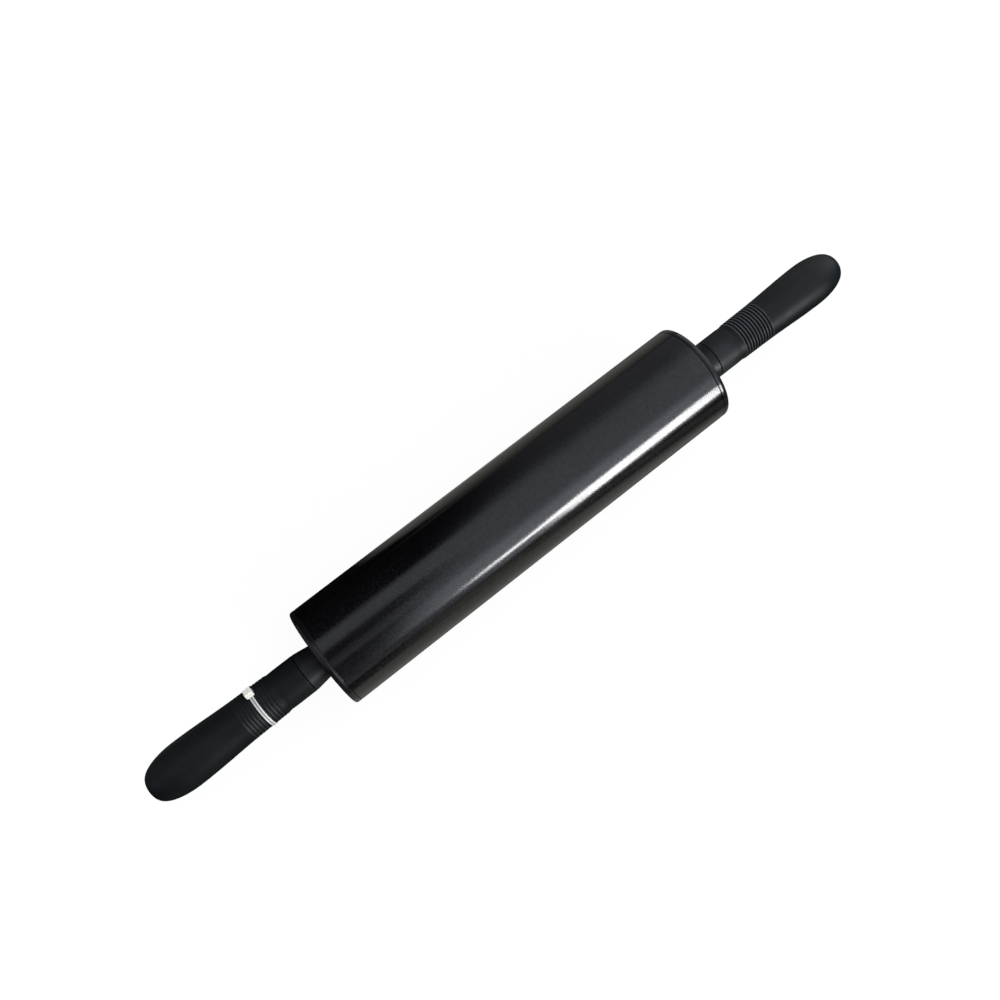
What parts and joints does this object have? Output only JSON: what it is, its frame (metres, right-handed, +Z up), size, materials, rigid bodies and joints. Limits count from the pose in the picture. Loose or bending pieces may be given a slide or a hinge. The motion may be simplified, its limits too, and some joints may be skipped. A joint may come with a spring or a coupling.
{
  "type": "rolling pin",
  "caption": "Rolling pin with a coated steel barrel on ball bearings, a fixed axle through it, and tapered ribbed grips with rounded ends.",
  "frame": {"origin": "centre of the barrel, on the axle's axis", "axes": "+X along the axle to the right end, +Z up, +Y to the rear; the pin lies on its barrel"},
  "size_m": [0.46, 0.0572, 0.0572],
  "materials": {
    "nonstick_coating": "black non-stick coating on steel, semi-gloss with a fine speckle",
    "cap_plastic": "black moulded plastic, glossy at the rim and satin on the collar",
    "bearing_steel": "ground bearing steel",
    "ball_steel": "polished bearing balls",
    "spring_steel": "dark phosphated spring steel",
    "cage_nylon": "natural nylon",
    "axle_steel": "bright drawn steel rod",
    "sleeve_nylon": "natural nylon",
    "insert_brass": "machined brass",
    "grip_plastic": "black moulded plastic, fine matte grain",
    "tie_nylon": "natural off-white nylon, slightly translucent"
  },
  "bodies": {
    "axle_and_grips": {"axle_rod": "axle_steel", "left_bearing_inner_race": "bearing_steel", "right_bearing_inner_race": "bearing_steel", "left_axle_clip": "spring_steel", "right_axle_clip": "spring_steel", "left_spacer_sleeve": "sleeve_nylon", "right_spacer_sleeve": "sleeve_nylon", "left_threaded_insert": "insert_brass", "right_threaded_insert": "insert_brass", "left_grip": "grip_plastic", "right_grip": "grip_plastic", "cable_tie": "tie_nylon"},
    "roller": {"barrel_tube": "nonstick_coating", "left_end_cap": "cap_plastic", "right_end_cap": "cap_plastic", "left_bearing_outer_race": "bearing_steel", "right_bearing_outer_race": "bearing_steel", "left_bearing_retainer": "spring_steel", "right_bearing_retainer": "spring_steel"},
    "left_balls": {"left_ball_cage": "cage_nylon", "left_ball_1": "ball_steel", "left_ball_2": "ball_steel", "left_ball_3": "ball_steel", "left_ball_4": "ball_steel", "left_ball_5": "ball_steel", "left_ball_6": "ball_steel", "left_ball_7": "ball_steel"},
    "right_balls": {"right_ball_cage": "cage_nylon", "right_ball_1": "ball_steel", "right_ball_2": "ball_steel", "right_ball_3": "ball_steel", "right_ball_4": "ball_steel", "right_ball_5": "ball_steel", "right_ball_6": "ball_steel", "right_ball_7": "ball_steel"}
  },
  "joints": [
    {"name": "roller_spin", "type": "hinge", "parent": "axle_and_grips", "child": "roller", "pos_m": [0, 0, 0], "axis": [1, 0, 0], "continuous": true},
    {"name": "left_cage_spin", "type": "hinge", "parent": "axle_and_grips", "child": "left_balls", "pos_m": [-0.114, 0, 0], "axis": [1, 0, 0], "continuous": true},
    {"name": "right_cage_spin", "type": "hinge", "parent": "axle_and_grips", "child": "right_balls", "pos_m": [0.114, 0, 0], "axis": [1, 0, 0], "continuous": true}
  ],
  "couplings": [
    {"joint": "left_cage_spin", "follows": "roller_spin", "ratio": 0.6324},
    {"joint": "right_cage_spin", "follows": "roller_spin", "ratio": 0.6324}
  ]
}
